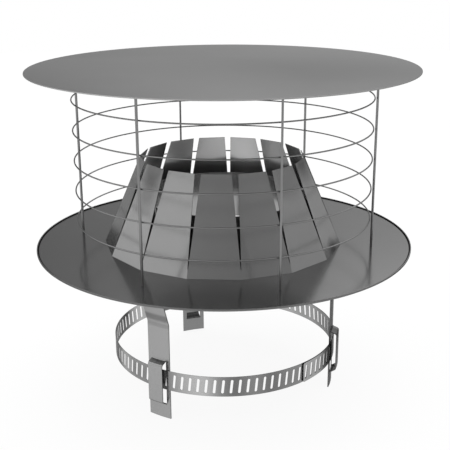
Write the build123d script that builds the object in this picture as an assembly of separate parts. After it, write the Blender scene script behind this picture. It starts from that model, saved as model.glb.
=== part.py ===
from build123d import *
import math
import os

# Chimney cowl: a flat lid over a wire cage and a slit sheet cone, clamped to a round pot.
# Origin: centre of the flue opening on the underside of the base plate. +Z is up.
# Azimuths are in degrees from -Y, the front, growing towards +X.

# Lid and base plate
lid_diameter = 400.0
lid_thickness = 1.0
base_diameter = 398.0
base_thickness = 1.0
base_lip_height = 2.3
base_lip_bend = 0.6
plate_gap = 184.0

# Flue opening and the tube that stands round it inside the cone
flue_diameter = 174.0
flue_collar_height = 51.5
flue_collar_thickness = 0.9

# Bird cage: closed wire rings inside upright square bars
ring_radius = 154.9
ring_wire = 1.5
ring_count = 5
ring_flats = 48
wire_sides = 6
first_ring_height = 30.0
ring_pitch = 31.5
bar_side = 2.1
bar_twist = -23.0
bar_clearance = 0.02
bar_azimuths = {
    "cage_bar_front_right": 19.1,
    "cage_bar_right": 80.0,
    "cage_bar_back_right": 142.0,
    "cage_bar_back_left": 199.0,
    "cage_bar_left": 261.0,
    "cage_bar_front_left": 330.8,
}

# Cone: one sheet folded to flat petals, slit from the top
petal_count = 15
petal_azimuth = -3.6
cone_height = 93.2
cone_base_flat_radius = 123.7
cone_top_flat_radius = 85.1
cone_thickness = 0.9
slit_top_width = 6.5
slit_tip_width = 0.3
slit_tip_height = 14.0

# Pot and the three strap legs that stand round it
pot_diameter = 238.6
pot_clearance = 0.1
leg_azimuths = {"leg_front_left": -33.7, "leg_right": 76.3, "leg_back_left": 198.8}
leg_width = 26.5
leg_thickness = 1.1
leg_reach = 158.0
joggle_height = 54.0
joggle_offset = 18.0
foot_flange = 20.0
leg_bend = 3.0

# Loop lanced out of each leg for the band
loop_width = 17.6
loop_top = 94.3
loop_bottom = 141.8
loop_top_drop = 2.6
loop_bottom_drop = 4.2
loop_room = 5.7
loop_bend = 2.2
loop_root = 4.0

# Perforated band with its free end lying outside the loop
band_width = 21.5
band_thickness = 0.6
band_depth = 114.3
band_clearance = 0.3
layer_clearance = 0.3
slot_count = 95
slot_length = 12.8
slot_width = 2.2
slot_end_taper = 0.9
slot_tilt = 6.0
slot_phase = 1.2
tail_end_slot = 11
tail_corner = 2.0

# Worm drive that joins the band's ends
drive_slot = 43
housing_length = 28.0
housing_thickness = 1.0
housing_side_clearance = 0.3
housing_end_wall = 1.2
saddle_thickness = 0.8
saddle_clearance = 0.2
screw_clearance = 0.2
screw_core_radius = 4.1
thread_room = 1.2
screw_collar_radius = 4.8
screw_collar_length = 1.5
hex_across_flats = 8.0
hex_length = 7.0
screw_slot_width = 1.2
screw_slot_depth = 1.6
screw_tip = 1.5

# How far cuts run past the sheet, in mm, and past a strap's half width, in degrees
cut_margin = 2.0
sweep_margin = 10.0

# Sizes that follow from the ones above
base_top = base_thickness
lid_underside = base_top + plate_gap
wire_half_height = ring_wire / 2
wire_corner = wire_half_height / math.cos(math.pi / wire_sides)
leg_inner = pot_diameter / 2 + pot_clearance
leg_outer = leg_inner + leg_thickness
band_inner = leg_outer + band_clearance
band_outer = band_inner + band_thickness
tail_inner = band_outer + layer_clearance
tail_outer = tail_inner + band_thickness
slot_step = 360 / slot_count
housing_half_width = band_width / 2 + housing_side_clearance
shoulder = tail_outer + layer_clearance
screw_axis = tail_outer + screw_clearance + screw_core_radius
housing_bore = screw_core_radius + thread_room
drive_azimuth = slot_phase + drive_slot * slot_step


def at_azimuth(shape, azimuth):
    # Shapes are drawn on the +X side, which is azimuth 90
    return Rot(0, 0, azimuth - 90) * shape


def ring_sector(inner, outer, bottom, top, start, end):
    # Part of a tube about Z between two azimuths
    section = Pos((inner + outer) / 2, (bottom + top) / 2) * Rectangle(outer - inner, top - bottom)
    return at_azimuth(revolve(Plane.XZ * section, Axis.Z, end - start), start)


def bent_strip(points, bend, thickness, width):
    # Sheet strip that follows a line in radius and height, curved about Z, cut to an even width
    inner_line = FilletPolyline(*points, radius=bend)
    outer_line = inner_line.offset_2d(thickness, side=Side.RIGHT, closed=False)
    ends = [Line(inner_line @ 0, outer_line @ 0), Line(inner_line @ 1, outer_line @ 1)]
    profile = make_face([*inner_line.edges(), *outer_line.edges(), *ends])
    reach = max(radius for radius, height in points) + thickness
    lowest = min(height for radius, height in points) - thickness
    highest = max(height for radius, height in points) + thickness
    half_angle = sweep_margin + math.degrees(math.asin(width / 2 / leg_inner))
    curved = Rot(0, 0, -half_angle) * revolve(Plane.XZ * profile, Axis.Z, 2 * half_angle)
    keep = Box(reach + 2 * cut_margin, width, highest - lowest + 2 * cut_margin)
    return curved & (Pos(reach / 2, 0, (lowest + highest) / 2) * keep)


# Lid: a plain flat disc
def make_lid():
    disc = Cylinder(lid_diameter / 2, lid_thickness, align=(Align.CENTER, Align.CENTER, Align.MIN))
    return Pos(0, 0, lid_underside) * disc


# Base plate: a disc with the flue opening and a small rim turned up
def make_base_plate():
    rim = base_diameter / 2
    sheet = base_thickness
    outline = Polyline(
        (flue_diameter / 2, 0),
        (rim - base_lip_bend, 0),
        (rim, base_lip_bend),
        (rim, base_lip_height),
        (rim - sheet, base_lip_height),
        (rim - sheet, sheet),
        (flue_diameter / 2, sheet),
        close=True,
    )
    return revolve(Plane.XZ * make_face(outline), Axis.Z)


# Flue collar: a plain tube, as wide inside as the opening that it stands round
def make_flue_collar():
    inner = flue_diameter / 2
    up = (Align.CENTER, Align.CENTER, Align.MIN)
    tube = Cylinder(inner + flue_collar_thickness, flue_collar_height, align=up)
    return Pos(0, 0, base_top) * (tube - Cylinder(inner, flue_collar_height, align=up))


# Cone: a frustum of flat facets with a wedge slit on every fold line
def frustum_of_facets(bottom_flat, lean):
    half_step = 180 / petal_count
    outline = RegularPolygon(bottom_flat, petal_count, major_radius=False, rotation=half_step)
    solid = extrude(outline, cone_height, taper=lean)
    return Pos(0, 0, base_top) * Rot(0, 0, petal_azimuth - 90) * solid


def make_cone():
    lean = math.degrees(math.atan((cone_base_flat_radius - cone_top_flat_radius) / cone_height))
    wall = cone_thickness / math.cos(math.radians(lean))
    outside = frustum_of_facets(cone_base_flat_radius, lean)
    inside = frustum_of_facets(cone_base_flat_radius - wall, lean)
    slit_height = cone_height - slit_tip_height
    widening = (slit_top_width - slit_tip_width) / 2 / slit_height
    top = slit_height + cut_margin
    wedge_outline = Polyline(
        (-slit_tip_width / 2, 0),
        (slit_tip_width / 2, 0),
        (slit_tip_width / 2 + widening * top, top),
        (-slit_tip_width / 2 - widening * top, top),
        close=True,
    )
    wedge_plane = Plane(origin=(0, 0, base_top + slit_tip_height), x_dir=(0, 1, 0), z_dir=(1, 0, 0))
    corner_radius = cone_base_flat_radius / math.cos(math.pi / petal_count)
    wedge = extrude(wedge_plane * make_face(wedge_outline), corner_radius + cut_margin)
    step = 360 / petal_count
    slits = [at_azimuth(wedge, petal_azimuth + (fold + 0.5) * step) for fold in range(petal_count)]
    return outside - inside - slits


# Cage
def make_ring(height):
    # A six-sided wire in short straight runs, so that its mesh stays light, made as two halves
    lean = 180 / wire_sides
    outline = RegularPolygon(ring_radius + wire_corner, ring_flats, major_radius=False)
    opening = RegularPolygon(ring_radius - wire_corner, ring_flats, major_radius=False)
    upper = extrude(outline, wire_half_height, taper=lean)
    upper -= extrude(opening, wire_half_height, taper=-lean)
    return Pos(0, 0, height) * (upper + mirror(upper, Plane.XY))


def make_bar(azimuth):
    twist = math.radians(abs(bar_twist))
    corner_reach = bar_side / 2 * (math.cos(twist) + math.sin(twist))
    ring_reach = (ring_radius + wire_corner) / math.cos(math.pi / ring_flats)
    bar_radius = ring_reach + corner_reach + bar_clearance
    bar = Box(bar_side, bar_side, plate_gap, align=(Align.CENTER, Align.CENTER, Align.MIN))
    return at_azimuth(Pos(bar_radius, 0, base_top) * Rot(0, 0, bar_twist) * bar, azimuth)


# Legs: a strap with a joggle that clears the pot's rim, a flange under the base and a lanced loop
def make_leg(azimuth):
    flange_radius = leg_inner + joggle_offset
    strap = bent_strip(
        [
            (leg_inner, -leg_reach),
            (leg_inner, -joggle_height),
            (flange_radius, 0),
            (flange_radius + foot_flange, 0),
        ],
        leg_bend,
        leg_thickness,
        leg_width,
    )
    window = Box(4 * leg_thickness, loop_width, loop_bottom - loop_top)
    window = Pos(leg_inner, 0, -(loop_top + loop_bottom) / 2) * window
    loop_inner = leg_inner + loop_room + leg_thickness
    loop = bent_strip(
        [
            (leg_inner, -loop_bottom - loop_root),
            (leg_inner, -loop_bottom),
            (loop_inner, -loop_bottom + loop_bottom_drop),
            (loop_inner, -loop_top - loop_top_drop),
            (leg_inner, -loop_top),
            (leg_inner, -loop_top + loop_root),
        ],
        loop_bend,
        leg_thickness,
        loop_width,
    )
    return at_azimuth(strap - window + loop, azimuth)


# Band: a perforated strip with one flat and one slanted slot to each step round the pot
def slot_cutter():
    # Six corners stand for the slot's rounded ends, so that the band's mesh stays light
    half_width = slot_width / 2
    half_length = slot_length / 2
    side_end = half_length - slot_end_taper
    upper_half = [(half_width, side_end), (0, half_length), (-half_width, side_end)]
    lower_half = [(-x, -y) for x, y in upper_half]
    slot = Rot(0, 0, -slot_tilt) * make_face(Polyline(*upper_half, *lower_half, close=True))
    start = band_inner - cut_margin
    slot_plane = Plane(origin=(start, 0, -band_depth), x_dir=(0, 1, 0), z_dir=(1, 0, 0))
    return extrude(slot_plane * slot, tail_outer + cut_margin - start)


def perforated_strip(inner, first_slot, last_slot):
    # The flats meet on folds half a step from each slot
    to_fold = 1 / math.cos(math.radians(slot_step / 2))
    fold_numbers = [number - 0.5 for number in range(first_slot, last_slot + 2)]
    folds = [math.radians(slot_phase + number * slot_step) for number in fold_numbers]

    def fold_points(radius):
        return [(radius * to_fold * math.sin(fold), -radius * to_fold * math.cos(fold)) for fold in folds]

    outline = Polyline(*fold_points(inner), *reversed(fold_points(inner + band_thickness)), close=True)
    strip = Pos(0, 0, -band_depth - band_width / 2) * extrude(make_face(outline), band_width)
    slot = slot_cutter()
    slot_numbers = range(first_slot, last_slot + 1)
    return strip - [at_azimuth(slot, slot_phase + number * slot_step) for number in slot_numbers]


def make_band():
    # One slot is left out where the two ends face each other under the drive
    return perforated_strip(band_inner, drive_slot + 1 - slot_count, drive_slot - 1)


def make_tail():
    # The two corners of the free end are cut off
    strip = perforated_strip(tail_inner, tail_end_slot, drive_slot)
    end_azimuth = slot_phase + (tail_end_slot - 0.5) * slot_step
    middle = (tail_inner + tail_outer) / 2
    free_corners = [
        strip.edges().sort_by_distance(at_azimuth(Vertex(middle, 0, height - band_depth), end_azimuth))[0]
        for height in (-band_width / 2, band_width / 2)
    ]
    return chamfer(free_corners, tail_corner)


# Worm drive: a saddle under the band, a housing folded round both, and the screw
def make_saddle():
    half_angle = math.degrees(math.asin(housing_length / 2 / leg_outer))
    outer = band_inner - saddle_clearance
    bottom = -band_depth - housing_half_width
    top = -band_depth + housing_half_width
    start = drive_azimuth - half_angle
    end = drive_azimuth + half_angle
    return ring_sector(outer - saddle_thickness, outer, bottom, top, start, end)


def housing_shape(side_edge, half_width, bore):
    # Cross-section of the housing: side walls, shoulders on the band's margins and a round bump
    with BuildSketch() as section:
        with Locations(((side_edge + shoulder) / 2, 0)):
            Rectangle(shoulder - side_edge, 2 * half_width)
        with Locations(((shoulder + screw_axis) / 2, 0)):
            Rectangle(screw_axis - shoulder, 2 * bore)
        with Locations((screw_axis, 0)):
            Circle(bore)
    return section.sketch


def make_housing():
    side_edge = band_inner - saddle_clearance - saddle_thickness
    sheet = housing_thickness
    outside = housing_shape(side_edge, housing_half_width + sheet, housing_bore + sheet)
    outside += Pos(shoulder + sheet / 2, 0) * Rectangle(sheet, 2 * (housing_half_width + sheet))
    inside = housing_shape(side_edge - cut_margin, housing_half_width, housing_bore)
    section_plane = Plane(origin=(0, 0, -band_depth), x_dir=(1, 0, 0), z_dir=(0, -1, 0))
    shell = extrude(section_plane * (outside - inside), housing_length / 2, both=True)
    journal = screw_core_radius + screw_clearance
    end_wall = Pos((shoulder + screw_axis) / 2, 0) * Rectangle(screw_axis - shoulder, 2 * housing_bore)
    end_wall += Pos(screw_axis, 0) * Circle(housing_bore + sheet / 2)
    end_wall -= Pos(screw_axis, 0) * Circle(journal)
    end_wall -= Pos(shoulder - housing_bore, 0) * Rectangle(2 * housing_bore, 4 * housing_bore)
    wall = extrude(section_plane * end_wall, housing_end_wall / 2, both=True)
    offset = (housing_length - housing_end_wall) / 2
    return at_azimuth(shell + Pos(0, -offset, 0) * wall + Pos(0, offset, 0) * wall, drive_azimuth)


def make_screw():
    # The head faces the side where the band's free end comes out
    head_face = housing_length / 2 + screw_clearance
    shank_length = head_face + housing_length / 2 + screw_tip
    outward = Plane(origin=(screw_axis, -head_face, -band_depth), x_dir=(0, 0, 1), z_dir=(0, -1, 0))
    up = (Align.CENTER, Align.CENTER, Align.MIN)
    down = (Align.CENTER, Align.CENTER, Align.MAX)
    shank = Cylinder(screw_core_radius, shank_length, align=down)
    collar = Cylinder(screw_collar_radius, screw_collar_length, align=up)
    hexagon = RegularPolygon(hex_across_flats / 2, 6, major_radius=False)
    head = extrude(Pos(0, 0, screw_collar_length) * hexagon, hex_length)
    top = screw_collar_length + hex_length
    driver_slot = Pos(0, 0, top) * Box(hex_across_flats * 2, screw_slot_width, 2 * screw_slot_depth)
    return at_azimuth(outward * (shank + collar + head - driver_slot), drive_azimuth)


def write(name, shape):
    export_step(shape, f"parts/{name}.step")


def main():
    os.makedirs("parts", exist_ok=True)
    write("lid", make_lid())
    write("base_plate", make_base_plate())
    write("flue_collar", make_flue_collar())
    write("slit_cone", make_cone())
    for number in range(ring_count):
        write(f"cage_ring_{number + 1}", make_ring(base_top + first_ring_height + number * ring_pitch))
    for name, azimuth in bar_azimuths.items():
        write(name, make_bar(azimuth))
    for name, azimuth in leg_azimuths.items():
        write(name, make_leg(azimuth))
    write("clamp_band", make_band())
    write("clamp_tail", make_tail())
    write("worm_saddle", make_saddle())
    write("worm_housing", make_housing())
    write("worm_screw", make_screw())


main()
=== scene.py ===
import math

import bmesh
import bpy
from mathutils import Matrix, Vector


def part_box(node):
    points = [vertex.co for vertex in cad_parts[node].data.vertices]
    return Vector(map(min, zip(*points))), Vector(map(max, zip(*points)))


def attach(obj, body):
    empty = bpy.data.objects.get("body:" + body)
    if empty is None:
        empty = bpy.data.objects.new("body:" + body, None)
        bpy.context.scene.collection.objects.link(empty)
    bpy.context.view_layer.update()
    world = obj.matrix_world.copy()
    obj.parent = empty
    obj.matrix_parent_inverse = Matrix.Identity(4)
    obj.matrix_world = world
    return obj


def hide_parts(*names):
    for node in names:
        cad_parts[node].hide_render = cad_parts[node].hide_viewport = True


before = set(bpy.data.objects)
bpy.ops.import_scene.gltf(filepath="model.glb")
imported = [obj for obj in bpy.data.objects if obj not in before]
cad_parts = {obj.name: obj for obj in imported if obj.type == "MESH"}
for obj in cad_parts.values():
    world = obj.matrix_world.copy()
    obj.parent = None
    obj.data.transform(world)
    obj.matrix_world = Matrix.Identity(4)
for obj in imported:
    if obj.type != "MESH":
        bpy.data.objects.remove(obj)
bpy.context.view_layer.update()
scene = bpy.context.scene
scene.view_settings.view_transform = "Standard"
print("frame loaded:", len(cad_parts), "nodes")

mm = 0.001


# a socket that can be used in sums
class Wire:
    def __init__(self, graph, socket):
        self.graph = graph
        self.socket = socket

    def calc(self, operation, first, second):
        return self.graph.add("ShaderNodeMath", {"operation": operation}, {0: first, 1: second})

    def __add__(self, other):
        return self.calc("ADD", self, other)

    def __radd__(self, other):
        return self.calc("ADD", other, self)

    def __sub__(self, other):
        return self.calc("SUBTRACT", self, other)

    def __rsub__(self, other):
        return self.calc("SUBTRACT", other, self)

    def __mul__(self, other):
        return self.calc("MULTIPLY", self, other)

    def __rmul__(self, other):
        return self.calc("MULTIPLY", other, self)


# the nodes of one material or of the world
class Graph:
    def __init__(self, tree):
        self.tree = tree
        tree.nodes.clear()

    def add(self, kind, settings, inputs, output=0):
        node = self.tree.nodes.new(kind)
        for key, value in settings.items():
            setattr(node, key, value)
        for key, value in inputs.items():
            if isinstance(value, Wire):
                self.tree.links.new(value.socket, node.inputs[key])
            else:
                node.inputs[key].default_value = value
        return Wire(self, node.outputs[output]) if node.outputs else None

    def noise(self, place, stretch, scale, detail, seed=0.0):
        stretched = self.add("ShaderNodeVectorMath", {"operation": "MULTIPLY"}, {0: place, 1: stretch})
        sockets = {"Vector": stretched, "W": seed, "Scale": scale, "Detail": detail}
        return self.add("ShaderNodeTexNoise", {"noise_dimensions": "4D"}, sockets)

    def mix(self, factor, low, high):
        return self.add("ShaderNodeMix", {"data_type": "RGBA"}, {"Factor": factor, 6: low, 7: high}, 2)

    # 0 at the start value, 1 at the end value, and held beyond both
    def ramp(self, value, start, end):
        sockets = {"Value": value, "From Min": start, "From Max": end}
        return self.add("ShaderNodeMapRange", {}, sockets)


def grey(level):
    return (level, level, level, 1)


# a point at a radius and azimuth; azimuth 0 is the front, and it grows to the right
def polar(radius, azimuth, height):
    angle = math.radians(azimuth)
    return Vector((radius * math.sin(angle), -radius * math.cos(angle), height)) * mm


# 1 in a ring round the cowl's axis between two radii and two heights, such as along a fold
def ringMask(graph, place, ring):
    flat = graph.add("ShaderNodeVectorMath", {"operation": "MULTIPLY"}, {0: place, 1: (1, 1, 0)})
    radius = graph.add("ShaderNodeVectorMath", {"operation": "LENGTH"}, {0: flat}, 1)
    height = graph.add("ShaderNodeSeparateXYZ", {}, {0: place}, 2)
    blur = ring["blur"]
    inward = graph.ramp(radius, ring["inner"] * mm, (ring["inner"] + blur) * mm)
    outward = graph.ramp(radius, (ring["outer"] + blur) * mm, ring["outer"] * mm)
    above = graph.ramp(height, ring["low"] * mm, (ring["low"] + blur) * mm)
    below = graph.ramp(height, (ring["high"] + blur) * mm, ring["high"] * mm)
    return inward * outward * above * below


# 1 in the core of a round patch of the sheet, falling to 0 at its reach
def patchMask(graph, place, patch):
    middle = polar(patch["radius"], patch["azimuth"], patch["height"])
    distance = graph.add("ShaderNodeVectorMath", {"operation": "DISTANCE"}, {0: place, 1: middle}, 1)
    return graph.ramp(distance, patch["reach"] * mm, patch["core"] * mm)


# stainless steel: grey level, sheen, rolling grain, painted light and shade, painted reflection streaks and
# the sheet's slow waves
def steel(name, look):
    material = bpy.data.materials.new(name)
    material.use_nodes = True
    graph = Graph(material.node_tree)
    place = graph.add("ShaderNodeTexCoord", {}, {}, 3)
    grain = graph.noise(place, look["grainStretch"], look["grainScale"], look["grainDetail"])
    cloud = graph.noise(place, look["cloudStretch"], look["cloudScale"], look["cloudDetail"])
    wave = graph.noise(place, look["waveStretch"], look["waveScale"], look["waveDetail"])
    tone = look["grainShare"] * grain + (1 - look["grainShare"]) * cloud
    # painted reflection: soft upright streaks of lighter and darker grey
    paintedReflection = graph.noise(place, look["streakStretch"], look["streakScale"], 0.0, look["streakSeed"])
    tone = tone * look["spread"] + paintedReflection * look["paintedReflection"]
    reach = look["spread"] + look["paintedReflection"]  # the mean stays at the look's own grey
    color = graph.mix(tone, grey(look["grey"] * (1 - reach)), grey(look["grey"] * (3 - reach)))
    # painted light and shade: lighter or darker rings and patches laid over the steel
    for paintedArea in look["paintedLightAndShade"]:
        mask = patchMask(graph, place, paintedArea) if "reach" in paintedArea else ringMask(graph, place, paintedArea)
        color = graph.mix(mask * paintedArea["share"], color, grey(paintedArea["grey"]))
    rough = look["rough"] + look["roughSpread"] * (grain - 0.5)
    waves = {"Strength": 1.0, "Distance": look["waveDepth"] * mm, "Height": wave}
    slow = graph.add("ShaderNodeBump", {}, waves)
    lines = {"Strength": 1.0, "Distance": look["grainDepth"] * mm, "Height": grain, "Normal": slow}
    fine = graph.add("ShaderNodeBump", {}, lines)
    sockets = {"Base Color": color, "Roughness": rough, "Metallic": look["metal"], "Normal": fine}
    sockets["Specular Tint"] = grey(look["edgeTint"])
    shader = graph.add("ShaderNodeBsdfPrincipled", {}, sockets)
    graph.add("ShaderNodeOutputMaterial", {}, {"Surface": shader})
    return material


# the look that every steel here starts from
sheetLook = {
    "grey": 0.34,
    "metal": 0.9,
    "edgeTint": 0.30,  # how bright the steel is where it is seen at a slant
    "spread": 0.06,  # how much the grain and the clouds change the grey
    "rough": 0.22,
    "roughSpread": 0.08,
    "grainStretch": (1.0, 40.0, 1.0),
    "grainScale": 30.0,
    "grainDetail": 3.0,
    "grainShare": 0.5,
    "grainDepth": 0.002,
    "cloudStretch": (1, 1, 1),
    "cloudScale": 9.0,
    "cloudDetail": 2.0,
    "waveStretch": (1, 1, 1),
    "waveScale": 12.0,
    "waveDetail": 1.0,
    "waveDepth": 0.15,
    "paintedReflection": 0.0,  # how much soft upright streaks change the grey
    "streakStretch": (1, 1, 0),
    "streakScale": 30.0,
    "streakSeed": 0.0,
    "paintedLightAndShade": [],
}
# painted light and shade come as rings or round patches of another grey; share is how much of it shows at
# the core
# a lighter area of painted light at the lid's left and a darker one of painted shade at its right
lidPaintedLightAndShade = [
    {"azimuth": -50, "radius": 140, "height": 186, "core": 40, "reach": 190, "share": 0.2, "grey": 0.9},
    {"azimuth": 95, "radius": 120, "height": 186, "core": 30, "reach": 130, "share": 0.1, "grey": 0.0},
]
lidSteel = steel("lidSheet", dict(sheetLook, grey=0.32, rough=0.32, paintedLightAndShade=lidPaintedLightAndShade))
# painted shade: the dark line inside the rim's fold, and the rim's darker outer side
rimPaintedShade = [
    {"inner": 196.5, "outer": 198.4, "low": 0.7, "high": 2.0, "blur": 0.2, "share": 1.0, "grey": 0.02},
    {"inner": 198.7, "outer": 205, "low": -1.0, "high": 4.0, "blur": 0.2, "share": 0.55, "grey": 0.0},
]
baseSteel = steel("baseSheet", dict(sheetLook, grey=0.33, rough=0.16, paintedLightAndShade=rimPaintedShade))
# painted shade: darker places on some of the petals, outside and inside
conePaintedShade = [
    {"azimuth": -52, "radius": 86, "height": 92, "core": 10, "reach": 25, "share": 0.5, "grey": 0.0},
    {"azimuth": -52, "radius": 96, "height": 68, "core": 6, "reach": 26, "share": 0.35, "grey": 0.0},
    {"azimuth": 44, "radius": 88, "height": 88, "core": 10, "reach": 30, "share": 0.25, "grey": 0.0},
    {"azimuth": 68, "radius": 86, "height": 92, "core": 6, "reach": 28, "share": 0.5, "grey": 0.0},
    {"azimuth": 68, "radius": 123, "height": 3, "core": 4, "reach": 16, "share": 0.5, "grey": 0.0},
]
insidePaintedShade = [
    {"azimuth": 116, "radius": 95, "height": 68, "core": 5, "reach": 18, "share": 0.5, "grey": 0.0},
    {"azimuth": 212, "radius": 88, "height": 84, "core": 12, "reach": 26, "share": 0.3, "grey": 0.0},
    {"azimuth": 236, "radius": 88, "height": 84, "core": 12, "reach": 26, "share": 0.6, "grey": 0.0},
]
coneLook = dict(sheetLook, grey=0.36, rough=0.2, grainStretch=(12.0, 12.0, 1.0), paintedLightAndShade=conePaintedShade)
coneSteel = steel("coneSheet", coneLook)
insideLook = dict(coneLook, grey=0.4, rough=0.22, metal=0.62, paintedLightAndShade=insidePaintedShade)
# painted reflection: the inside's light and dark streaks stand in for mirrored light and shade
# the seeds of the streaks are chosen so that light and dark fall as photographed
insideStreaks = {"paintedReflection": 1.0, "streakScale": 18.0, "streakSeed": 11014.16}
insideSteel = steel("coneInside", dict(insideLook, **insideStreaks))
collarSteel = steel("collarSheet", dict(sheetLook, grey=0.38, metal=0.75, rough=0.14))
wireSteel = steel("cageWire", dict(sheetLook, grey=0.25, rough=0.12, waveDepth=0.0))
barSteel = steel("cageBar", dict(sheetLook, grey=0.25, rough=0.3, waveDepth=0.0))
legLook = dict(sheetLook, grey=0.36, rough=0.24, edgeTint=0.12, grainStretch=(30.0, 30.0, 1.0))
# painted shade: darker at the two bends of the joggle, the loop's foot, the back leg's end and the right
# loop's top
legPaintedShade = [
    {"inner": 90, "outer": 180, "low": -52.0, "high": -44.5, "blur": 3.0, "share": 0.4, "grey": 0.0},
    {"inner": 90, "outer": 180, "low": -58.8, "high": -54.5, "blur": 1.8, "share": 0.2, "grey": 0.0},
    {"inner": 120.6, "outer": 180, "low": -142.6, "high": -139.8, "blur": 0.6, "share": 0.5, "grey": 0.0},
    {"azimuth": 198.8, "radius": 120, "height": -148, "core": 22, "reach": 40, "share": 0.3, "grey": 0.0},
    {"azimuth": 74.5, "radius": 124, "height": -97, "core": 6, "reach": 14, "share": 0.5, "grey": 0.0},
]
legSteel = steel("legStrap", dict(legLook, paintedLightAndShade=legPaintedShade))
# painted shade: the cut edges are coloured almost black in place of the shade along them
cutEdgeShadeSteel = steel("legCutEdgePaintedShade", dict(legLook, grey=0.1, rough=0.4))
# painted reflection: the strip's streaks give lighter and darker stretches in place of mirrored light and
# shade
stripLook = dict(sheetLook, grey=0.31, rough=0.18, grainStretch=(2.0, 2.0, 60.0), paintedReflection=1.0)
stripPlace = {"radius": 121.5, "height": -114.3}
# painted shade and light: darker and lighter stretches of the strip
bandPaintedLightAndShade = [
    dict(stripPlace, azimuth=18, core=28, reach=52, share=0.26, grey=0.0),
    dict(stripPlace, azimuth=-61, core=9, reach=20, share=0.55, grey=0.7),
    dict(stripPlace, azimuth=-47, core=6, reach=16, share=0.22, grey=0.0),
]
# painted shade on the free end
tailPaintedShade = [dict(stripPlace, azimuth=66, core=9, reach=24, share=0.5, grey=0.0)]
bandLook = dict(stripLook, streakScale=26.0, streakSeed=618.64, paintedLightAndShade=bandPaintedLightAndShade)
bandSteel = steel("bandStrip", bandLook)
tailLook = dict(stripLook, streakScale=30.0, streakSeed=155.03, paintedLightAndShade=tailPaintedShade)
tailSteel = steel("freeEndStrip", tailLook)
driveSteel = steel("driveSteel", dict(sheetLook, grey=0.38, rough=0.24))
screwSteel = steel("screwSteel", dict(sheetLook, grey=0.42, rough=0.28))
print("steels made")


# puts a mesh into the scene as a piece that rides on a CAD body and stands for a CAD node
def addPiece(name, mesh, body, material, node, sharp=35.0):
    bmesh.ops.recalc_face_normals(mesh, faces=mesh.faces)
    data = bpy.data.meshes.new(name)
    mesh.to_mesh(data)
    mesh.free()
    data.shade_smooth()
    data.set_sharp_from_angle(angle=math.radians(sharp))
    data.materials.append(material)
    piece = bpy.data.objects.new(name, data)
    scene.collection.objects.link(piece)
    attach(piece, body)
    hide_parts(node)
    return piece


# turns a closed outline of radius and height round the axis
def lathe(outline, steps):
    mesh = bmesh.new()
    rows = []
    for radius, height in outline:
        if radius == 0:
            rows.append([mesh.verts.new(polar(0, 0, height))] * steps)
        else:
            rows.append([mesh.verts.new(polar(radius, 360 * i / steps, height)) for i in range(steps)])
    for row, nextRow in zip(rows, rows[1:] + rows[:1]):
        for i in range(steps):
            j = (i + 1) % steps
            corners = list(dict.fromkeys((row[i], row[j], nextRow[j], nextRow[i])))
            if len(corners) > 2:
                mesh.faces.new(corners)
    return mesh


# points along an arc between two angles in degrees
def arc(centre, radius, start, end, steps):
    turns = [math.radians(start + (end - start) * i / steps) for i in range(steps + 1)]
    return [(centre[0] + radius * math.cos(t), centre[1] + radius * math.sin(t)) for t in turns]


softening = {"angle": 50.0, "segments": 2, "weld": 0.002, "shortest": 0.001}


# rounds the sharp edges of a sheet piece a little
def softenEdges(mesh, width, angle=softening["angle"]):
    bmesh.ops.remove_doubles(mesh, verts=mesh.verts, dist=softening["weld"] * mm)
    bmesh.ops.recalc_face_normals(mesh, faces=mesh.faces)
    limit = math.radians(angle)
    edges = [edge for edge in mesh.edges if len(edge.link_faces) == 2 and edge.calc_face_angle() > limit]
    rounding = {"offset": width * mm, "segments": softening["segments"], "clamp_overlap": True}
    bmesh.ops.bevel(mesh, geom=edges, affect="EDGES", **rounding)
    bmesh.ops.dissolve_degenerate(mesh, edges=mesh.edges, dist=softening["shortest"] * mm)


# Lid, base plate and flue collar, all turned round the axis
turned = {"steps": 256, "collarSteps": 160, "edgeSteps": 3, "bendSteps": 5}
lid = {
    "radius": 199.94,  # a hair under 200, so that it stays inside the solid's faceted lid
    "under": 185.0,
    "thickness": 1.0,
    "edge": 0.3,
}
base = {
    "radius": 199.0,
    "hole": 87.0,
    "thickness": 1.0,
    "rim": 2.3,
    "bend": 0.8,
    "innerBend": 0.15,
    "edge": 0.3,
}
collar = {"height": 51.5, "thickness": 0.9, "edge": 0.2}


def makeLid():
    top = lid["under"] + lid["thickness"]
    edge = lid["edge"]
    steps = turned["edgeSteps"]
    outline = [(0, lid["under"])]
    outline += arc((lid["radius"] - edge, lid["under"] + edge), edge, -90, 0, steps)
    outline += arc((lid["radius"] - edge, top - edge), edge, 0, 90, steps)
    outline += [(0, top)]
    mesh = lathe(outline, turned["steps"])
    addPiece("lidDisc", mesh, "cowl", lidSteel, "lid")


def makeBase():
    outer = base["radius"]
    sheet = base["thickness"]
    edge = base["edge"]
    bend = base["bend"]
    fold = base["innerBend"]
    steps = turned["edgeSteps"]
    outline = [(base["hole"], 0)]
    outline += arc((outer - bend, bend), bend, -90, 0, turned["bendSteps"])
    outline += arc((outer - edge, base["rim"] - edge), edge, 0, 90, steps)
    outline += arc((outer - sheet + edge, base["rim"] - edge), edge, 90, 180, steps)
    outline += [(outer - sheet, sheet + fold), (outer - sheet - fold, sheet), (base["hole"], sheet)]
    mesh = lathe(outline, turned["steps"])
    addPiece("basePlate", mesh, "cowl", baseSteel, "base_plate")


# Cone of flat petals, which share their folds up to the tips of the slits
cone = {
    "petals": 15,
    "azimuth": -4.05,
    "shift": -1.0,
    "height": 93.2,
    "foot": 123.7,
    "top": 85.1,
    "thickness": 0.9,
    "slit": 6.5,
    "tip": 0.5,
    "tipHeight": 8.5,
    "edge": 0.12,
    "softAngle": 60.0,
    "sharp": 20.0,
}


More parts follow.
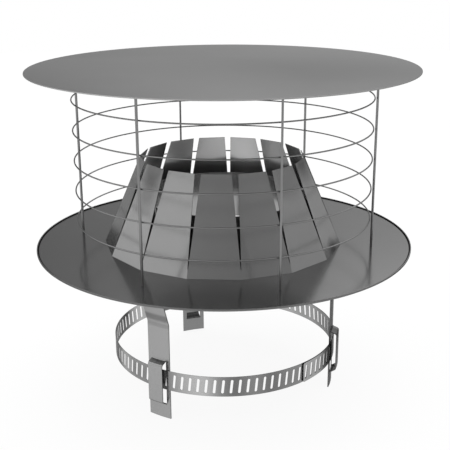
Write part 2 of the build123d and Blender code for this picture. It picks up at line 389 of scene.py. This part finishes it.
def makeCone():
    halfStep = math.radians(180 / cone["petals"])
    lean = (cone["foot"] - cone["top"]) / cone["height"]
    wall = cone["thickness"] * math.sqrt(1 + lean * lean)
    mesh = bmesh.new()

    def spot(petal, side, height, slit, inside):
        flat = cone["foot"] - lean * height - wall * inside
        across = side * (flat * math.tan(halfStep) - slit / 2 / math.cos(halfStep))
        azimuth = cone["azimuth"] + petal * 360 / cone["petals"]
        place = polar(flat, azimuth, base["thickness"] + height) + polar(across, azimuth + 90, 0)
        return mesh.verts.new(place + Vector((cone["shift"] * mm, 0, 0)))

    tip = cone["tipHeight"]
    heights = [(0, 0), (tip, 0), (tip, cone["tip"]), (cone["height"], cone["slit"])]
    for petal in range(cone["petals"]):
        skins = []
        for inside in (0, 1):
            left = [spot(petal, -1, height, slit, inside) for height, slit in heights]
            right = [spot(petal, 1, height, slit, inside) for height, slit in heights]
            foot = mesh.faces.new((left[0], right[0], right[1], right[2], left[2], left[1]))
            head = mesh.faces.new((left[2], right[2], right[3], left[3]))
            foot.material_index = head.material_index = inside
            skins.append(left[1:] + right[:0:-1] + [right[0], left[0]])
        outer, inner = skins
        count = len(outer)
        for i in range(count - 1):
            if i != count - 3:  # petals join at the folds under the slits, with no wall there
                mesh.faces.new((outer[i], outer[i + 1], inner[i + 1], inner[i]))
    softenEdges(mesh, cone["edge"], cone["softAngle"])
    piece = addPiece("slitCone", mesh, "cowl", coneSteel, "slit_cone", cone["sharp"])
    piece.data.materials.append(insideSteel)


def makeCollar():
    inner = base["hole"]
    outer = inner + collar["thickness"]
    foot = base["thickness"]
    edge = collar["edge"]
    top = foot + collar["height"]
    outline = [(inner, foot), (outer, foot)]
    outline += arc((outer - edge, top - edge), edge, 0, 90, turned["edgeSteps"])
    outline += arc((inner + edge, top - edge), edge, 90, 180, turned["edgeSteps"])
    mesh = lathe(outline, turned["collarSteps"])
    addPiece("flueCollar", mesh, "cowl", collarSteel, "flue_collar")


makeLid()
makeBase()
makeCollar()
makeCone()
print("lid, base plate and cone done")

# Cage of closed wire rings inside square bars
cage = {
    "radius": 154.9,
    "wire": 1.5,
    "wireSides": 12,
    "rings": 5,
    "first": 31.0,
    "pitch": 31.5,
    "bar": 2.1,
    "barCorner": 0.35,
    "cornerSteps": 3,
    "twist": -23.0,  # how far each bar is turned from facing the axis
    "steps": 240,
}


def makeRings():
    for number in range(cage["rings"]):
        height = cage["first"] + number * cage["pitch"]
        outline = arc((cage["radius"], height), cage["wire"] / 2, 0, 360, cage["wireSides"])[:-1]
        mesh = lathe(outline, cage["steps"])
        name = "wireRing%d" % (number + 1)
        addPiece(name, mesh, "cowl", wireSteel, "cage_ring_%d" % (number + 1))


def makeBars():
    for node in [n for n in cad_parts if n.startswith("cage_bar")]:
        low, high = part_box(node)
        middle = (Vector(low) + Vector(high)) / 2
        azimuth = math.degrees(math.atan2(middle.x, -middle.y))
        half = cage["bar"] / 2
        corner = cage["barCorner"]
        section = []
        for quarter in range(4):
            turn = quarter * 90
            centre = Matrix.Rotation(math.radians(turn), 2) @ Vector((half - corner, half - corner))
            section += arc(centre, corner, turn, turn + 90, cage["cornerSteps"])
        spin = Matrix.Rotation(math.radians(azimuth - 90 + cage["twist"]), 2)
        mesh = bmesh.new()
        rows = []
        for height in (low[2], high[2]):
            flat = [spin @ Vector(point) for point in section]
            rows.append([mesh.verts.new((middle.x + p.x * mm, middle.y + p.y * mm, height)) for p in flat])
        count = len(section)
        for i in range(count):
            j = (i + 1) % count
            mesh.faces.new((rows[0][i], rows[0][j], rows[1][j], rows[1][i]))
        mesh.faces.new(rows[0])
        mesh.faces.new(rows[1])
        addPiece(node.replace("cage_bar", "bar"), mesh, "cowl", barSteel, node)


makeRings()
makeBars()
print("cage done")


# a sheet's inner line of radius and height with round bends; each point has the sheet's outward normal
def bentPath(corners, bend, steps):
    points = [Vector(corner) for corner in corners]
    first = (points[1] - points[0]).normalized()
    path = [(points[0], Vector((first.y, -first.x)))]
    for before, point, after in zip(points, points[1:], points[2:]):
        into = (point - before).normalized()
        out = (after - point).normalized()
        turn = math.atan2(into.x * out.y - into.y * out.x, into.dot(out))
        start = point - into * bend * math.tan(abs(turn) / 2)
        arm = Vector((-into.y, into.x)) * math.copysign(bend, turn)
        for i in range(steps + 1):
            spin = Matrix.Rotation(turn * i / steps, 2)
            ahead = spin @ into
            path.append((start + arm - spin @ arm, Vector((ahead.y, -ahead.x))))
    path.append((points[-1], path[-1][1]))
    return path


# Strap legs, each with its lanced loop
leg = {
    "inner": 119.4,
    "thickness": 1.1,
    "width": 26.5,
    "reach": 158.0,
    "joggleHeight": 54.0,
    "joggleOffset": 18.0,
    "flange": 20.0,
    "bend": 3.0,
    "loopWidth": 17.6,
    "loopTop": 94.3,
    "loopBottom": 141.8,
    "topDrop": 2.6,
    "bottomDrop": 4.2,
    "room": 5.7,
    "loopBend": 2.2,
    "root": 4.0,
    "edge": 0.12,
    "steps": 6,
    "azimuths": {"leg_front_left": -33.7, "leg_right": 76.3, "leg_back_left": 198.8},
}


def makeLeg(node, azimuth):
    inner = leg["inner"]
    top = -leg["loopTop"]
    bottom = -leg["loopBottom"]
    raised = inner + leg["room"] + leg["thickness"]
    flange = inner + leg["joggleOffset"]
    loopLine = [(inner, bottom - leg["root"]), (inner, bottom), (raised, bottom + leg["bottomDrop"])]
    loopLine += [(raised, top - leg["topDrop"]), (inner, top), (inner, top + leg["root"])]
    loop = bentPath(loopLine, leg["loopBend"], leg["steps"])[1:-1]
    low = loop[0][0].y
    high = loop[-1][0].y
    outward = Vector((1, 0))
    rails = [(Vector((inner, low + (high - low) * i / (len(loop) - 1))), outward) for i in range(len(loop))]
    upperLine = [(inner, high), (inner, -leg["joggleHeight"]), (flange, 0), (flange + leg["flange"], 0)]
    upper = bentPath(upperLine, leg["bend"], leg["steps"])[1:]
    rows = [(Vector((inner, -leg["reach"])), outward)] + rails + upper
    splitStart = 1  # between these rows the strap is cut, and its middle stands out as the loop
    splitEnd = len(rails)
    half = leg["width"] / 2
    cut = leg["loopWidth"] / 2
    columns = [-half, -cut, -cut / 2, 0, cut / 2, cut, half]
    radial = polar(1, azimuth, 0)
    along = polar(1, azimuth + 90, 0)
    mesh = bmesh.new()
    known = {}

    def corner(row, column, lifted, side):
        lifted = lifted and splitStart < row < splitEnd
        key = (row, column, lifted, side)
        if key not in known:
            place, normal = loop[row - splitStart] if lifted else rows[row]
            radius, height = place + normal * leg["thickness"] * side
            across = columns[column]
            spot = radial * math.sqrt(radius**2 - across**2) + along * across
            known[key] = mesh.verts.new(spot + Vector((0, 0, height * mm)))
        return known[key]

    def cutEdge(*ends):
        spots = [corner(*end, 0) for end in ends] + [corner(*end, 1) for end in reversed(ends)]
        mesh.faces.new(spots).material_index = 1

    lastRow = len(rows) - 1
    lastColumn = len(columns) - 1
    for i in range(lastRow):
        split = splitStart <= i < splitEnd
        for j in range(lastColumn):
            lifted = split and 1 <= j < lastColumn - 1
            cell = ((i, j), (i, j + 1), (i + 1, j + 1), (i + 1, j))
            for side in (0, 1):
                mesh.faces.new([corner(row, column, lifted, side) for row, column in cell])
        edges = [(0, False), (lastColumn, False)]
        if split:
            edges += [(column, lifted) for column in (1, lastColumn - 1) for lifted in (False, True)]
        for column, lifted in edges:
            cutEdge((i, column, lifted), (i + 1, column, lifted))
    for row in (0, lastRow):
        for j in range(lastColumn):
            cutEdge((row, j, False), (row, j + 1, False))
    softenEdges(mesh, leg["edge"])
    piece = addPiece(node.replace("leg_", "strap_"), mesh, "cowl", legSteel, node)
    piece.data.materials.append(cutEdgeShadeSteel)


for node, azimuth in leg["azimuths"].items():
    makeLeg(node, azimuth)
print("legs done")

# Perforated band and its free end
band = {
    "inner": 120.8,
    "thickness": 0.45,
    "tailInner": 121.7,
    "depth": 114.3,
    "width": 21.5,
    "slots": 90,
    "slotLength": 15.0,
    "slotWidth": 2.6,
    "slotEdge": 0.08,
    "tilt": 6.0,
    "phase": 3.1,
    "driveSlot": 40,
    "tailEnd": 10,
    "corner": 1.3,
    "steps": 6,
    "lag": 0.9,  # the slots under the free end are set off from its own
    "lagTurn": 6.0,
    "mostLag": 1.8,
    "spring": 0.7,  # the free end's tip stands off by this much
    "springReach": 8.0,
}


# a strip of the band made slot by slot, each with the steel round it
def makeStrip(name, node, body, inner, slots, material, cutEnd):
    firstSlot, lastSlot = slots
    step = 360 / band["slots"]
    middle = inner + band["thickness"] / 2
    half = middle * math.radians(step) / 2
    tall = band["width"] / 2
    steps = band["steps"]
    end = band["slotWidth"] / 2
    lean = Matrix.Rotation(math.radians(-band["tilt"]), 2)
    shift = band["slotLength"] / 2 - end
    slot = []
    for turn, centre in ((0, (0, shift)), (180, (0, -shift))):
        slot += [lean @ Vector(point) for point in arc(centre, end, turn, turn + 180, steps)]
    rim = [Vector((half - 2 * half * i / steps, tall)) for i in range(steps + 1)]
    rim += [Vector((-point.x, -tall)) for point in rim]
    count = len(rim)
    mesh = bmesh.new()

    def ring(points, number, radius):
        corners = []
        for point in points:
            azimuth = band["phase"] + number * step + math.degrees(point.x / middle)
            lift = 0
            if cutEnd:
                along = (azimuth - band["phase"] - (firstSlot - 0.5) * step) / band["springReach"]
                lift = band["spring"] * max(0, 1 - along) ** 2
            corners.append(mesh.verts.new(polar(radius + lift, azimuth, point.y - band["depth"])))
        return corners

    def join(first, second, skipped=()):
        for i in range(count):
            j = (i + 1) % count
            if i not in skipped:
                mesh.faces.new((first[i], first[j], second[j], second[i]))

    for number in range(firstSlot, lastSlot + 1):
        edge = [point.copy() for point in rim]
        hole = slot
        if number >= band["tailEnd"] and not cutEnd:  # this slot lies under the free end
            turn = math.radians(band["phase"] + number * step + band["lagTurn"])
            lag = max(-band["mostLag"], min(band["mostLag"], band["lag"] * math.tan(turn)))
            hole = [Vector((point.x + lag, point.y)) for point in slot]
        if cutEnd and number == firstSlot:
            cut = band["corner"]
            edge[steps - 1].x = edge[steps + 2].x = cut - half
            edge[steps].y = tall - cut
            edge[steps + 1].y = cut - tall
        outer = inner + band["thickness"]
        holes = [ring(hole, number, inner), ring(hole, number, outer)]
        rims = [ring(edge, number, inner), ring(edge, number, outer)]
        join(holes[0], rims[0])
        join(holes[1], rims[1])
        join(holes[0], holes[1])
        inside = set()  # no wall towards the next slot's steel
        if number > firstSlot:
            inside.add(steps)
        if number < lastSlot:
            inside.add(count - 1)
        join(rims[0], rims[1], inside)
    softenEdges(mesh, band["slotEdge"])
    addPiece(name, mesh, body, material, node)


bandSlots = (band["driveSlot"] + 1 - band["slots"], band["driveSlot"] - 1)
tailSlots = (band["tailEnd"], band["driveSlot"])
makeStrip("clampBand", "clamp_band", "clamp", band["inner"], bandSlots, bandSteel, False)
makeStrip("bandFreeEnd", "clamp_tail", "band_tail", band["tailInner"], tailSlots, tailSteel, True)
print("band done")

# Worm drive: saddle, folded housing and screw, all set out along the drive's own axes
drive = {
    "azimuth": 164.147,
    "seat": 122.3,  # outer radius of the free end's solid, which the drive clears
    "stripGap": 0.3,
    "length": 28.0,
    "sideClearance": 0.3,
    "sheet": 1.0,
    "saddleSheet": 0.8,
    "saddleGap": 0.2,
    "screwGap": 0.2,
    "core": 4.1,
    "threadRoom": 1.2,
    "endWall": 1.2,
    "bend": 1.2,
    "edge": 0.12,
    "saddleSteps": 12,
    "bendSteps": 5,
    "boreSteps": 10,
    "holeSteps": 24,
}
screw = {
    "root": 3.2,
    "crest": 4.25,
    "crestShare": 0.3,
    "flankShare": 0.15,
    "collar": 4.8,
    "collarLength": 1.5,
    "collarEdge": 0.2,
    "head": 7.0,
    "across": 8.0,
    "chamfer": 0.7,
    "slotWidth": 1.2,
    "slotDepth": 1.6,
    "tip": 1.5,
    "tipChamfer": 0.6,
    "around": 48,
    "threadSteps": 104,
}
threadPitch = math.radians(360 / band["slots"]) * (band["tailInner"] + band["thickness"] / 2)
screwAxis = drive["seat"] + drive["screwGap"] + drive["core"]
housingHalf = band["width"] / 2 + drive["sideClearance"]
saddleInner = band["inner"] - drive["saddleGap"] - drive["saddleSheet"]


# a point by distance from the cowl's axis, height over the band's middle and place along the screw
def driveSpot(out, up, along):
    return polar(out, drive["azimuth"], up - band["depth"]) + polar(-along, drive["azimuth"] + 90, 0)


# a strip of sheet between two rows of points, set out along the screw
def addRibbon(mesh, inner, outer, start, end):
    rows = []
    for line in (inner, outer):
        for along in (start, end):
            rows.append([mesh.verts.new(driveSpot(out, up, along)) for out, up in line])
    innerStart, innerEnd, outerStart, outerEnd = rows
    last = len(inner) - 1
    faces = [(innerStart, innerEnd), (outerStart, outerEnd), (innerStart, outerStart), (innerEnd, outerEnd)]
    for i in range(last):
        for one, two in faces:
            mesh.faces.new((one[i], one[i + 1], two[i + 1], two[i]))
    for i in (0, last):
        mesh.faces.new((innerStart[i], innerEnd[i], outerEnd[i], outerStart[i]))


def makeSaddle():
    half = math.degrees(math.asin(drive["length"] / 2 / saddleInner))
    steps = drive["saddleSteps"]
    mesh = bmesh.new()
    rows = []
    for radius in (saddleInner, saddleInner + drive["saddleSheet"]):
        for height in (-housingHalf, housingHalf):
            places = [drive["azimuth"] - half + 2 * half * i / steps for i in range(steps + 1)]
            rows.append([mesh.verts.new(polar(radius, place, height - band["depth"])) for place in places])
    low, high, lowOuter, highOuter = rows
    for i in range(steps):
        for one, two in ((low, high), (lowOuter, highOuter), (low, lowOuter), (high, highOuter)):
            mesh.faces.new((one[i], one[i + 1], two[i + 1], two[i]))
    for i in (0, steps):
        mesh.faces.new((low[i], high[i], highOuter[i], lowOuter[i]))
    softenEdges(mesh, drive["edge"])
    addPiece("wormSaddle", mesh, "clamp", driveSteel, "worm_saddle")


def makeHousing():
    bore = drive["core"] + drive["threadRoom"]
    shoulder = drive["seat"] + drive["stripGap"]
    sheet = drive["sheet"]
    bend = drive["bend"]
    steps = drive["bendSteps"]

    def halfLine(grow):
        line = [(saddleInner, -housingHalf - grow)]
        line += arc((shoulder - bend, bend - housingHalf), bend + grow, -90, 0, steps)
        line += arc((shoulder + bend, -bore - bend), bend - grow, 180, 90, steps)
        return line + arc((screwAxis, 0), bore + grow, -90, 0, drive["boreSteps"])

    def whole(line):
        return line + [(out, -up) for out, up in line[-2::-1]]

    mesh = bmesh.new()
    half = drive["length"] / 2
    addRibbon(mesh, whole(halfLine(0)), whole(halfLine(sheet)), -half, half)
    journal = drive["core"] + drive["screwGap"]
    opening = math.degrees(math.acos((shoulder - screwAxis) / journal))
    hole = arc((screwAxis, 0), journal, -opening, opening, drive["holeSteps"])
    rim = arc((screwAxis, 0), bore + sheet / 2, -opening, opening, drive["holeSteps"])
    for start in (-half, half - drive["endWall"]):
        addRibbon(mesh, hole, rim, start, start + drive["endWall"])
    softenEdges(mesh, drive["edge"])
    addPiece("wormHousing", mesh, "clamp", driveSteel, "worm_housing")


# takes a closed shape out of a finished piece
def cutWith(piece, shape):
    bmesh.ops.recalc_face_normals(shape, faces=shape.faces)
    data = bpy.data.meshes.new("cutter")
    shape.to_mesh(data)
    shape.free()
    cutter = bpy.data.objects.new("cutter", data)
    scene.collection.objects.link(cutter)
    change = piece.modifiers.new("cut", "BOOLEAN")
    change.object = cutter
    change.solver = "EXACT"
    depsgraph = bpy.context.evaluated_depsgraph_get()
    piece.data = bpy.data.meshes.new_from_object(piece.evaluated_get(depsgraph))
    piece.modifiers.clear()
    bpy.data.objects.remove(cutter)


# the screwdriver's slot, cut right across the head that ends at top
def cutHeadSlot(piece, top):
    width = screw["slotWidth"] / 2
    reach = screw["across"]
    cutter = bmesh.new()
    corners = []
    for along in (top - screw["slotDepth"], top + screw["head"]):
        for out, up in ((-width, -reach), (width, -reach), (width, reach), (-width, reach)):
            corners.append(cutter.verts.new(driveSpot(screwAxis + out, up, along)))
    cutter.faces.new(corners[:4])
    cutter.faces.new(corners[4:])
    for i in range(4):
        j = (i + 1) % 4
        cutter.faces.new((corners[i], corners[j], corners[j + 4], corners[i + 4]))
    cutWith(piece, cutter)


# how far the screw's surface stands from its axis at a place along it and a share of a turn
def screwRadius(kind, along, turn):
    if kind == "thread":
        phase = (along / threadPitch + turn) % 1
        flank = screw["flankShare"]
        crest = screw["crestShare"]
        rise = max(0, min(1, phase / flank, (crest + 2 * flank - phase) / flank))
        return screw["root"] + (screw["crest"] - screw["root"]) * rise
    if kind == "hexagon":
        fromFlat = (turn * 360) % 60 - 30
        return screw["across"] / 2 / math.cos(math.radians(fromFlat))
    return kind


def makeScrew():
    half = drive["length"] / 2
    face = half + drive["screwGap"]
    inside = half - drive["endWall"]
    core = drive["core"]
    collarRadius = screw["collar"]
    collarEdge = screw["collarEdge"]
    seat = face + screw["collarLength"]
    top = seat + screw["head"]
    tip = -half - screw["tip"]
    chamfer = screw["tipChamfer"]
    steps = screw["threadSteps"]
    rows = [(tip, core - chamfer), (tip + chamfer, core), (-inside, core)]
    rows += [(-inside + 2 * inside * i / steps, "thread") for i in range(steps + 1)]
    rows += [(inside, core), (face, core)]
    rows += [(face, collarRadius - collarEdge), (face + collarEdge, collarRadius)]
    rows += [(seat - collarEdge, collarRadius), (seat, collarRadius - collarEdge)]
    rows += [(seat, "hexagon"), (top - screw["chamfer"], "hexagon"), (top, screw["across"] / 2)]
    mesh = bmesh.new()
    rings = []
    around = screw["around"]
    for along, kind in rows:
        ring = []
        for i in range(around):
            radius = screwRadius(kind, along, i / around)
            angle = math.tau * i / around
            out = screwAxis + radius * math.sin(angle)
            ring.append(mesh.verts.new(driveSpot(out, radius * math.cos(angle), along)))
        rings.append(ring)
    for ring, nextRing in zip(rings, rings[1:]):
        for i in range(around):
            j = (i + 1) % around
            mesh.faces.new((ring[i], ring[j], nextRing[j], nextRing[i]))
    mesh.faces.new(rings[0])
    mesh.faces.new(rings[-1])
    piece = addPiece("wormScrew", mesh, "screw", screwSteel, "worm_screw")
    cutHeadSlot(piece, top)


makeSaddle()
makeHousing()
makeScrew()
print("worm drive done")

# Camera at the photograph's place
view = {
    "place": (-1.61, -918.33, 309.88),
    "yaw": 0.0032,
    "pitch": 0.3097,
    "roll": -0.0057,
    "focal": 893.5,
    "picture": 450,
    "sensor": 36.0,
    "near": 0.05,
    "far": 30,
}


def makeCamera():
    data = bpy.data.cameras.new("camera")
    data.sensor_width = view["sensor"]
    data.lens = view["focal"] * view["sensor"] / view["picture"]
    data.clip_start = view["near"]
    data.clip_end = view["far"]
    camera = bpy.data.objects.new("camera", data)
    scene.collection.objects.link(camera)
    yaw = view["yaw"]
    pitch = view["pitch"]
    roll = view["roll"]
    ahead = Vector((math.sin(yaw) * math.cos(pitch), math.cos(yaw) * math.cos(pitch), -math.sin(pitch)))
    right = Vector((math.cos(yaw), -math.sin(yaw), 0))
    up = right.cross(ahead)
    side = math.cos(roll) * right + math.sin(roll) * up
    top = -math.sin(roll) * right + math.cos(roll) * up
    turn = Matrix((side, top, -ahead)).transposed()
    camera.matrix_world = Matrix.Translation(Vector(view["place"]) * mm) @ turn.to_4x4()
    scene.camera = camera


makeCamera()
print("camera done")

# Floor and studio
studio = {
    "floorSize": 3.0,
    "floorHeight": -158.0,
    "shadowShare": 0.08,
    "floorGrey": 0.9,
    "white": 1.0,
    "sky": 0.88,
    "darkest": 0.1,
    "patches": [
        {"azimuth": 170, "rise": 80, "focus": 4.0, "gain": 2.0},  # overhead light
        {"azimuth": 145, "rise": 31, "focus": 14.0, "gain": 0.25},  # light at the back right
        {"azimuth": 17, "rise": 26, "focus": 3.5, "gain": -0.87},  # shade in front
        {"azimuth": 95, "rise": 18, "focus": 12.0, "gain": -0.4},  # shade at the right
        {"azimuth": 200, "rise": 30, "focus": 20.0, "gain": -1.15},  # shade at the back left
    ],
}


# 1 for rays of the named kinds, 0 for the others
def rayMask(graph, *kinds):
    rays = [graph.add("ShaderNodeLightPath", {}, {}, "Is %s Ray" % kind) for kind in kinds]
    mask = rays[0]
    for ray in rays[1:]:
        mask = graph.add("ShaderNodeMath", {"operation": "MAXIMUM"}, {0: mask, 1: ray})
    return mask


def makeFloor():
    mesh = bmesh.new()
    bmesh.ops.create_grid(mesh, x_segments=2, y_segments=2, size=studio["floorSize"])
    data = bpy.data.meshes.new("floor")
    mesh.to_mesh(data)
    mesh.free()
    floor = bpy.data.objects.new("floor", data)
    floor.location.z = studio["floorHeight"] * mm
    scene.collection.objects.link(floor)
    material = bpy.data.materials.new("paleFloor")
    material.use_nodes = True
    graph = Graph(material.node_tree)
    # white to the eye and in the steel; a small matt share keeps the shadow
    seen = rayMask(graph, "Camera", "Glossy", "Transmission")
    matt = graph.add("ShaderNodeBsdfDiffuse", {}, {"Color": grey(studio["floorGrey"])})
    white = graph.add("ShaderNodeEmission", {}, {"Color": grey(1), "Strength": studio["white"]})
    share = (1 - studio["shadowShare"]) * seen
    both = graph.add("ShaderNodeMixShader", {}, {0: share, 1: matt, 2: white})
    graph.add("ShaderNodeOutputMaterial", {}, {"Surface": both})
    data.materials.append(material)


# a soft patch of light or shade in the world round one direction
def softPatch(graph, direction, patch):
    rise = math.radians(patch["rise"])
    aim = polar(math.cos(rise), patch["azimuth"], math.sin(rise)) / mm
    facing = graph.add("ShaderNodeVectorMath", {"operation": "DOT_PRODUCT"}, {0: direction, 1: aim}, 1)
    spread = graph.add("ShaderNodeMath", {"operation": "EXPONENT"}, {0: patch["focus"] * (facing - 1)})
    return patch["gain"] * spread


def makeWorld():
    world = bpy.data.worlds.new("studioWorld")
    world.use_nodes = True
    scene.world = world
    graph = Graph(world.node_tree)
    direction = graph.add("ShaderNodeTexCoord", {}, {}, "Generated")
    sky = studio["sky"]
    for patch in studio["patches"]:
        sky = softPatch(graph, direction, patch) + sky
    sky = graph.add("ShaderNodeMath", {"operation": "MAXIMUM"}, {0: sky, 1: studio["darkest"]})
    # plain white to the eye, while the steel mirrors the studio's soft patches
    seen = rayMask(graph, "Camera", "Transmission")
    strength = sky + (studio["white"] - sky) * seen
    background = graph.add("ShaderNodeBackground", {}, {"Color": grey(1), "Strength": strength})
    graph.add("ShaderNodeOutputWorld", {}, {"Surface": background})


makeFloor()
makeWorld()
print("studio done")
